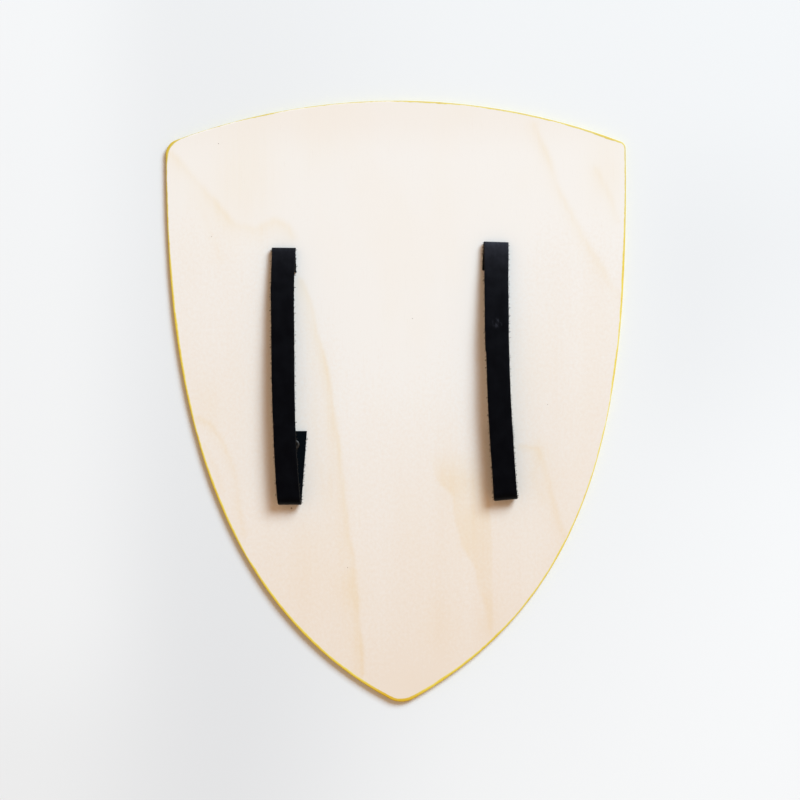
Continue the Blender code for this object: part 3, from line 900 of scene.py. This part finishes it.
def board_finish(settings):
    """Bare pale veneer with a darker figure, yellow paint on the rim and front. The veneer warms and
    darkens towards the tip and sides, partly its own tone and partly painted shade; the rim's paint carries
    painted shade at the tip and along the top edge.
    """
    finish = Finish("bare_plywood")
    mix, x, y, z = finish.mix, finish.x, finish.y, finish.z
    slow = finish.noise(finish.place, 9.0, 2.0)
    streak = finish.grain(55, 2.2, 3.0, 0.55)
    fibre = finish.grain(1500, 42, 3.0, 0.65)
    pores = finish.grain(2600, 120, 1.0)
    thread = finish.grain(380, 11)
    weave = finish.grain(520, 430, 2.0, 0.6)
    blush = finish.noise(finish.vector(x * 26, y * 13, z + 0.7), 1.0, 2.0)
    # The veneer warms and darkens towards the tip, the sides and the top edge: partly its own tone, partly
    # painted shade of the light's falloff
    sides = abs(x).ramp(0.02, 0.11) * y.ramp(-0.13, 0.12, 0.10, 0.42)
    warmth_and_painted_shade = (0.03 - y) * 4.85 + sides + (slow - 0.5) * 0.35 + (streak - 0.5) * 0.4 + (weave - 0.5) * 0.8
    warmth_and_painted_shade = warmth_and_painted_shade.math("MAXIMUM", 0.0) + y.ramp(0.155, 0.190) * 0.28
    veneer = mix(settings.pale_wood, settings.warm_wood, warmth_and_painted_shade)
    veneer = mix(veneer, settings.blush_wood, blush.ramp(0.45, 0.72) * 0.5, "MULTIPLY")
    figure = finish.attribute("figure") * (thread * 1.1 + 0.45)
    veneer = mix(veneer, settings.figure_wood, figure, "MULTIPLY")
    veneer = mix(veneer, settings.grain_wood, fibre.ramp(0.56, 0.80) * 0.10 + pores.ramp(0.68, 0.80) * 0.16)
    for speck_x, speck_y, radius, dark in SPECKS:
        gap = finish.distance(speck_x * MM, speck_y * MM)
        spot = gap.ramp(radius * 1.5 * MM, radius * 0.4 * MM) * dark
        veneer = mix(veneer, settings.speck_wood, spot)

    # The paint covers what lies closer to the rim than its ragged spread
    ragged = finish.noise(finish.place, 420.0, 3.0, 0.6) - 0.5
    wave = finish.noise(finish.place, 70.0, 2.0) - 0.5
    over = finish.attribute("bleed") - finish.attribute("rim") + (ragged * 0.7 + wave * 0.9 + 0.15) * MM
    paint = over.ramp(-0.12 * MM, 0.16 * MM)
    yellow = mix(settings.thin_paint, settings.thick_paint, over.ramp(0.0, 0.9 * MM))
    mottle = finish.noise(finish.place, 160.0, 3.0, 0.6)
    on_rim = z.ramp(0.2 * MM, 1.0 * MM)
    # Painted shade on the rim at the tip, in the same deep paint as the paint's darker patches
    tip = abs(x + 0.004).ramp(0.024, 0.006) * y.ramp(0.0, -0.1) * on_rim * 0.7
    yellow = mix(yellow, settings.deep_paint_and_shade, (mottle.ramp(0.45, 0.75) * 0.35).math("MAXIMUM", tip))
    # Painted shade on the rim's paint along the top edge
    yellow = mix(yellow, settings.painted_top_rim_shade, y.ramp(0.06, 0.17) * on_rim, "MULTIPLY")

    brush = finish.grain(900, 35)
    wood_rough = 0.58 + (fibre - 0.5) * 0.25
    paint_rough = 0.48 + (mottle - 0.5) * 0.2
    relief = fibre * 0.6 - pores.ramp(0.66, 0.8) * 0.8
    relief = relief + (brush * 0.8 - relief) * paint
    finish.feed(Base_Color=mix(veneer, yellow, paint),
                Roughness=wood_rough + (paint_rough - wood_rough) * paint,
                Normal=finish.bump(relief, 0.03 * MM, 0.7), Specular_IOR_Level=0.3)
    return finish.material


def leather_finish(settings):
    """Black leather: grained outside, rougher inside, raw on its cut edges."""
    finish = Finish("black_leather")
    mix = finish.mix
    along, across, through = [finish.attribute(name) for name in ("along", "across", "through")]
    skin = finish.vector(along, across, through)
    pebble = finish.node("ShaderNodeTexVoronoi", {"Vector": skin, "Scale": 1500.0}, feature="SMOOTH_F1")
    wrinkle = finish.noise(finish.vector(along * 420, across * 700, through * 300), 1.0, 4.0, 0.6)
    cloud = finish.noise(skin, 120.0, 3.0)
    fuzz = finish.noise(skin, 2600.0, 3.0, 0.7)

    scratch = finish.noise(finish.vector(finish.x * 1500 + finish.y * 500, finish.y * 260), 1.0, 2.0)
    scuff = finish.distance(SCUFF[0] * MM, SCUFF[1] * MM).ramp(4.2 * MM, 1.5 * MM)
    # Painted sheen below the upper folds, and a scuff on the right strap, both in the rubbed colour
    scuff_and_sheen = finish.attribute("wear") * (cloud * 1.4 + wrinkle * 0.8 - 0.1)
    scuff_and_sheen = scuff_and_sheen + scuff * scratch.ramp(0.48, 0.60) * 0.16
    grain = mix(settings.black, settings.black_worn, cloud.ramp(0.35, 0.75) * 0.6)
    grain = mix(grain, settings.rubbed, scuff_and_sheen)
    flesh = mix(settings.inside, settings.inside_light, fuzz.ramp(0.35, 0.8))
    edge = mix(settings.raw_edge, settings.raw_light, fuzz.ramp(0.45, 0.75))
    outside = through.ramp(0.1 * MM, 0.5 * MM)
    raw = abs(across).ramp(STRAP_WIDTH / 2 - 0.16 * MM, STRAP_WIDTH / 2 - 0.02 * MM)
    relief = pebble * -0.5 + wrinkle * 0.7 + fuzz * (1 - outside) * 1.5
    finish.feed(Base_Color=mix(mix(flesh, grain, outside), edge, raw),
                Roughness=0.42 + (cloud - 0.5) * 0.25 + (1 - outside) * 0.25 + raw * 0.3,
                Normal=finish.bump(relief, 0.06 * MM, 0.8), Specular_IOR_Level=0.04)
    return finish.material


def fibre_finish(settings):
    """Frayed leather fibres, dusty where they catch the light."""
    finish = Finish("leather_fibres")
    tone = finish.noise(finish.place, 900.0, 2.0).ramp(0.4, 0.62)
    finish.feed(Base_Color=finish.mix(settings.raw_edge, settings.fibre, tone), Roughness=0.8,
                Specular_IOR_Level=0.1)
    return finish.material


def rivet_finish(settings):
    """Darkened steel, brighter where the rolled rim is rubbed."""
    finish = Finish("darkened_steel")
    patch = finish.noise(finish.place, 700.0, 3.0, 0.6)
    drawn = finish.node("ShaderNodeMapping", {"Vector": finish.place, "Scale": (1.0, 6.0, 6.0)})
    relief = patch + finish.noise(drawn, 900.0, 3.0, 0.6) * 0.6
    rubbed = finish.z.ramp(HEAD_SEAT + HEAD_RIM, HEAD_SEAT + HEAD_HEIGHT)
    rubbed = rubbed * (patch.ramp(0.3, 0.6) * 0.5 + 0.5)
    finish.feed(Base_Color=finish.mix(settings.dark_steel, settings.rubbed_steel, rubbed),
                Metallic=patch.ramp(0.25, 0.5, 0.75, 1.0), Roughness=0.46 + (patch - 0.5) * 0.3,
                Normal=finish.bump(relief, 0.03 * MM, 0.6))
    return finish.material


def floor_finish(settings):
    """Pale seamless paper, with painted shade in a band and a patch, and painted light towards the right
    and the left edge.
    """
    finish = Finish("pale_paper")
    x, y = finish.x, finish.y
    tooth = finish.noise(finish.place, 1800.0, 2.0)
    # Painted shade in a band and a patch of the paper, and painted light towards its right and its far left
    fold = x.ramp(-0.25, -0.11) * x.ramp(0.06, -0.11) * y.ramp(0.30, -0.28, 0.35, 1.0)
    painted_dip_shade = x.ramp(0.13, 0.20) * abs(y - 0.06).ramp(0.14, 0.02) * 0.45
    lit_right = (x - y * 0.9).ramp(0.05, 0.46)
    lit_left = x.ramp(-0.14, -0.23) * y.ramp(-0.24, -0.12) * 0.6
    colour = finish.mix(settings.floor, settings.floor_painted_shade, fold.math("MAXIMUM", painted_dip_shade))
    colour = finish.mix(colour, settings.floor_painted_light, lit_right.math("MAXIMUM", lit_left))
    finish.feed(Base_Color=colour, Roughness=0.9, Normal=finish.bump(tooth, 0.01 * MM, 0.3))
    return finish.material


def backdrop_finish(settings):
    """Evenly bright paper for the backdrop, which low views see behind the floor."""
    finish = Finish("backdrop_paper")
    finish.feed(Base_Color=(0.0, 0.0, 0.0, 1.0), Specular_IOR_Level=0.0,
                Emission_Color=settings.backdrop, Emission_Strength=1.0)
    finish.material.cycles.emission_sampling = "NONE"
    return finish.material


# Settings


def colour(name, description, default):
    return bpy.props.FloatVectorProperty(name=name, description=description, subtype="COLOR", size=4,
                                         min=0.0, max=1.0, default=(*default, 1.0))


def length(name, description, default):
    return bpy.props.FloatProperty(name=name, description=description, default=default, min=0.0,
                                   precision=5, subtype="DISTANCE", unit="LENGTH")


def angle(name, description, degrees):
    return bpy.props.FloatProperty(name=name, description=description, default=radians(degrees),
                                   subtype="ANGLE")


def number(name, description, default, **kinds):
    return bpy.props.FloatProperty(name=name, description=description, default=default, min=0.0, **kinds)


class ShieldBoardSettings(bpy.types.PropertyGroup):
    arris: length("Edge rounding", "Radius of the sanded edges", 0.00095)
    edge_waver: length("Edge unevenness", "How far the sawn edge strays", 0.00012)
    rim_step: length("Rim step", "Length of the faces along the rim", 0.0007)
    back_step: length("Back step", "Size of the triangles of the bare back", 0.0015)
    front_step: length("Front step", "Size of the triangles of the painted front", 0.0050)
    pale_wood: colour("Pale veneer", "Veneer near the top edge", (0.842, 0.788, 0.740))
    # The veneer's pull towards this colour is partly its own tone, partly painted shade
    warm_wood: colour("Warm veneer", "Veneer near the tip", (0.798, 0.674, 0.566))
    blush_wood: colour("Blush", "Tint of the veneer's warmer clouds", (1.0, 0.980, 0.950))
    figure_wood: colour("Figure", "Tint of the veneer's darker lines", (0.982, 0.905, 0.765))
    grain_wood: colour("Grain", "Fine fibres of the veneer", (0.66, 0.54, 0.42))
    speck_wood: colour("Specks", "Dark specks of the veneer", (0.16, 0.10, 0.06))
    thin_paint: colour("Thin paint", "Paint where it runs out", (0.80, 0.69, 0.26))
    thick_paint: colour("Thick paint", "Paint on the rim", (0.78, 0.57, 0.06))
    # Also the painted shade on the rim at the tip
    deep_paint_and_shade: colour("Deep paint", "Darker patches of the paint", (0.66, 0.38, 0.01))
    # Painted shade on the rim's paint along the top edge
    painted_top_rim_shade: colour("Dull paint", "Tint of the paint along the top edge", (0.84, 0.83, 0.88))


class ShieldStrapSettings(bpy.types.PropertyGroup):
    path_step: length("Step", "Length of the faces along a strap", 0.00045)
    edge_round: length("Edge rounding", "Radius of the leather's cut edges", 0.00025)
    edge_waver: length("Edge unevenness", "How far a cut edge strays", 0.00042)
    face_waver: length("Face unevenness", "How far the slack run waves", 0.0005)
    fibre_density: number("Fibre density", "Fibres on a square metre of cut edge", 500000.0)
    black: colour("Grain side", "Outer side of the leather", (0.0006, 0.0009, 0.0019))
    black_worn: colour("Worn grain", "Outer side where it is rubbed", (0.0018, 0.0022, 0.0036))
    # Colour of the painted sheen below the upper folds, and of the scuff on the right strap
    rubbed: colour("Rubbed grain", "Grain side at the upper folds", (0.095, 0.097, 0.125))
    inside: colour("Flesh side", "Inner side of the leather", (0.0004, 0.0014, 0.0026))
    inside_light: colour("Flesh fibres", "Lighter fibres inside", (0.0016, 0.0038, 0.0058))
    raw_edge: colour("Cut edge", "Raw edge of the leather", (0.020, 0.017, 0.0145))
    raw_light: colour("Cut edge fibres", "Lighter fibres of the edge", (0.070, 0.060, 0.052))
    fibre: colour("Loose fibres", "Frayed fibres", (0.030, 0.025, 0.021))


class ShieldRivetSettings(bpy.types.PropertyGroup):
    turn_steps: bpy.props.IntProperty(name="Turn steps", description="Faces round a rivet",
                                      default=64, min=8)
    dark_steel: colour("Dark steel", "Blackened metal", (0.012, 0.010, 0.009))
    rubbed_steel: colour("Rubbed steel", "Metal on the rolled rim", (0.060, 0.055, 0.052))


class ShieldStageSettings(bpy.types.PropertyGroup):
    camera_height: length("Camera height", "Camera above the floor", 1.6047)
    lens: number("Lens", "Focal length in millimetres", 110.6)
    roll: angle("Roll", "How far the view is turned", -0.613)
    aim: bpy.props.FloatVectorProperty(name="Aim", description="Point under the camera", size=2,
                                       default=(0.00111, 0.00085), subtype="TRANSLATION", unit="LENGTH")
    key_power: number("Key light", "Power of the soft box", 1066.0, subtype="POWER", unit="POWER")
    key_colour: colour("Key colour", "Cool daylight", (0.628, 0.837, 1.0))
    key_size: length("Soft box", "Side of the soft box", 4.2)
    key_distance: length("Key distance", "From the shield to the soft box", 9.0)
    key_bearing: angle("Key bearing", "From +X towards +Y", 52)
    key_rise: angle("Key rise", "Above the floor", 42)
    floor_half: length("Floor reach", "From the shield to the floor's edges", 6.0)
    wall_height: length("Backdrop height", "Height of the wall behind the floor", 2.5)
    room_light: number("Room light", "Brightness of the room", 0.565)
    room: colour("Room", "Warm light of the room", (1.0, 0.715, 0.485))
    floor: colour("Floor", "Colour of the paper", (0.800, 0.800, 0.805))
    # Painted shade where the paper dips
    floor_painted_shade: colour("Floor, dim", "Paper where it dips", (0.725, 0.725, 0.735))
    # Painted light near the paper's bright corners
    floor_painted_light: colour("Floor, bright", "Paper near its bright corner", (0.860, 0.860, 0.865))
    backdrop: colour("Backdrop", "Wall behind the floor", (0.900, 0.920, 0.935))


# Operators


class SHIELD_OT_board(bpy.types.Operator):
    """Build the plywood board"""

    bl_idname = "shield.board"
    bl_label = "Build Board"

    def execute(self, context):
        settings = context.scene.shield_board
        board = make_board(settings)
        board.data.materials.append(board_finish(settings))
        settle(board, "plywood", "board")
        return {"FINISHED"}


class SHIELD_OT_straps(bpy.types.Operator):
    """Build the two leather straps and the fibres on their cut edges"""

    bl_idname = "shield.straps"
    bl_label = "Build Straps"

    def execute(self, context):
        settings = context.scene.shield_strap
        leather, fibre = leather_finish(settings), fibre_finish(settings)
        for strap in STRAPS:
            piece = make_strap(strap, settings, leather)
            settle(piece, "black_leather", strap.name)
            settle(make_fibres(strap, piece, settings, fibre), "black_leather")
        return {"FINISHED"}


class SHIELD_OT_rivets(bpy.types.Operator):
    """Build the four rivets"""

    bl_idname = "shield.rivets"
    bl_label = "Build Rivets"

    def execute(self, context):
        settings = context.scene.shield_rivet
        rivets = make_rivets(settings, rivet_finish(settings))
        settle(rivets, "dark_metal", "left_upper_rivet", "left_lower_rivet",
               "right_upper_rivet", "right_lower_rivet")
        return {"FINISHED"}


class SHIELD_OT_stage(bpy.types.Operator):
    """Set up the floor, the lights and the camera"""

    bl_idname = "shield.stage"
    bl_label = "Set Up Studio"

    def execute(self, context):
        scene, settings = context.scene, context.scene.shield_stage
        half = settings.floor_half
        corners = [(-half, -half), (half, -half), (half, half), (-half, half)]
        low, high = [[(x, y, z) for x, y in corners] for z in (FLOOR_Z, settings.wall_height)]
        floor = new_object("floor", mesh_from("floor", low, [(0, 1, 2, 3)]))
        floor.data.materials.append(floor_finish(settings))

        # Only the camera sees the backdrop, so it throws no light and no shade
        backdrop = new_object("backdrop", mesh_from("backdrop", low + high, band(0, 4, 4)))
        backdrop.data.materials.append(backdrop_finish(settings))
        backdrop.visible_diffuse = backdrop.visible_glossy = False
        backdrop.visible_transmission = backdrop.visible_shadow = False

        key = bpy.data.lights.new("key", "AREA")
        key.shape, key.size, key.energy = "SQUARE", settings.key_size, settings.key_power
        key.color = settings.key_colour[:3]
        lamp = new_object("key", key)
        toward = Vector((cos(settings.key_rise) * cos(settings.key_bearing),
                         cos(settings.key_rise) * sin(settings.key_bearing), sin(settings.key_rise)))
        lamp.location = toward * settings.key_distance
        lamp.rotation_euler = (-toward).to_track_quat("-Z", "Y").to_euler()

        scene.world = bpy.data.worlds.new("room")
        scene.world.use_nodes = True
        room = scene.world.node_tree.nodes["Background"]
        room.inputs["Color"].default_value = settings.room
        room.inputs["Strength"].default_value = settings.room_light

        lens = bpy.data.cameras.new("camera")
        lens.lens, lens.sensor_width = settings.lens, 36.0
        camera = new_object("camera", lens)
        camera.location = (*settings.aim, settings.camera_height)
        camera.rotation_euler = (0.0, 0.0, settings.roll)
        scene.camera = camera
        scene.view_settings.view_transform = "Standard"
        return {"FINISHED"}


OPERATORS = (SHIELD_OT_board, SHIELD_OT_straps, SHIELD_OT_rivets, SHIELD_OT_stage)
SETTINGS = {
    "shield_board": ShieldBoardSettings,
    "shield_strap": ShieldStrapSettings,
    "shield_rivet": ShieldRivetSettings,
    "shield_stage": ShieldStageSettings,
}


class SHIELD_PT_panel(bpy.types.Panel):
    """Sizes, colours and build steps of the toy shield"""

    bl_idname = "SHIELD_PT_panel"
    bl_label = "Toy Heater Shield"
    bl_space_type = "VIEW_3D"
    bl_region_type = "UI"
    bl_category = "Shield"

    def draw(self, context):
        for name, operator in zip(SETTINGS, OPERATORS):
            box = self.layout.box()
            group = getattr(context.scene, name)
            for key in group.bl_rna.properties.keys():
                if key not in ("rna_type", "name"):
                    box.prop(group, key)
            box.operator(operator.bl_idname)


def register():
    for kind in (*SETTINGS.values(), *OPERATORS, SHIELD_PT_panel):
        bpy.utils.register_class(kind)
    for name, kind in SETTINGS.items():
        setattr(bpy.types.Scene, name, bpy.props.PointerProperty(type=kind))


def unregister():
    for name in SETTINGS:
        delattr(bpy.types.Scene, name)
    for kind in (SHIELD_PT_panel, *OPERATORS[::-1], *list(SETTINGS.values())[::-1]):
        bpy.utils.unregister_class(kind)


def main():
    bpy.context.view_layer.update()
    register()
    bpy.ops.shield.board()
    bpy.ops.shield.straps()
    bpy.ops.shield.rivets()
    bpy.ops.shield.stage()


if __name__ == "__main__":
    main()
